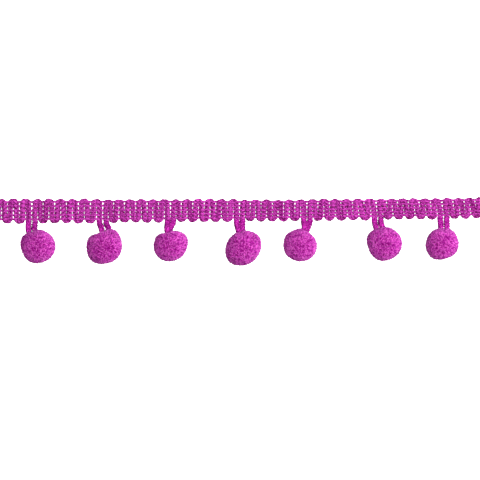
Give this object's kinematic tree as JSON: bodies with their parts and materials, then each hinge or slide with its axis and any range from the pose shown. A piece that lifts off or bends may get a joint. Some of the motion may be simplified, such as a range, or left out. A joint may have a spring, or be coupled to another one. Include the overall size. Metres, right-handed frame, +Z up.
{
  "type": "pompom trim",
  "caption": "Cut length of narrow scalloped braid with round pompoms hung along one edge on twisted cord loops, laid flat face up; sewn to the edge of cloth.",
  "frame": {"origin": "under the middle of the whole trim's outline, on the surface that it lies on", "axes": "+X along the trim, +Y towards the braid's free scalloped edge with the pompoms on the -Y side, +Z up out of the braid's face"},
  "size_m": [0.1902, 0.026, 0.0127],
  "materials": {
    "braid_yarn": "matt twisted yarn",
    "loop_cord": "matt twisted cord",
    "pompom_pile": "dense cut pile"
  },
  "bodies": {
    "root": {"heading_braid": "braid_yarn", "loop_1": "loop_cord", "loop_2": "loop_cord", "loop_3": "loop_cord", "loop_4": "loop_cord", "loop_5": "loop_cord", "loop_6": "loop_cord", "loop_7": "loop_cord", "pompom_1": "pompom_pile", "pompom_2": "pompom_pile", "pompom_3": "pompom_pile", "pompom_4": "pompom_pile", "pompom_5": "pompom_pile", "pompom_6": "pompom_pile", "pompom_7": "pompom_pile"}
  },
  "joints": []
}
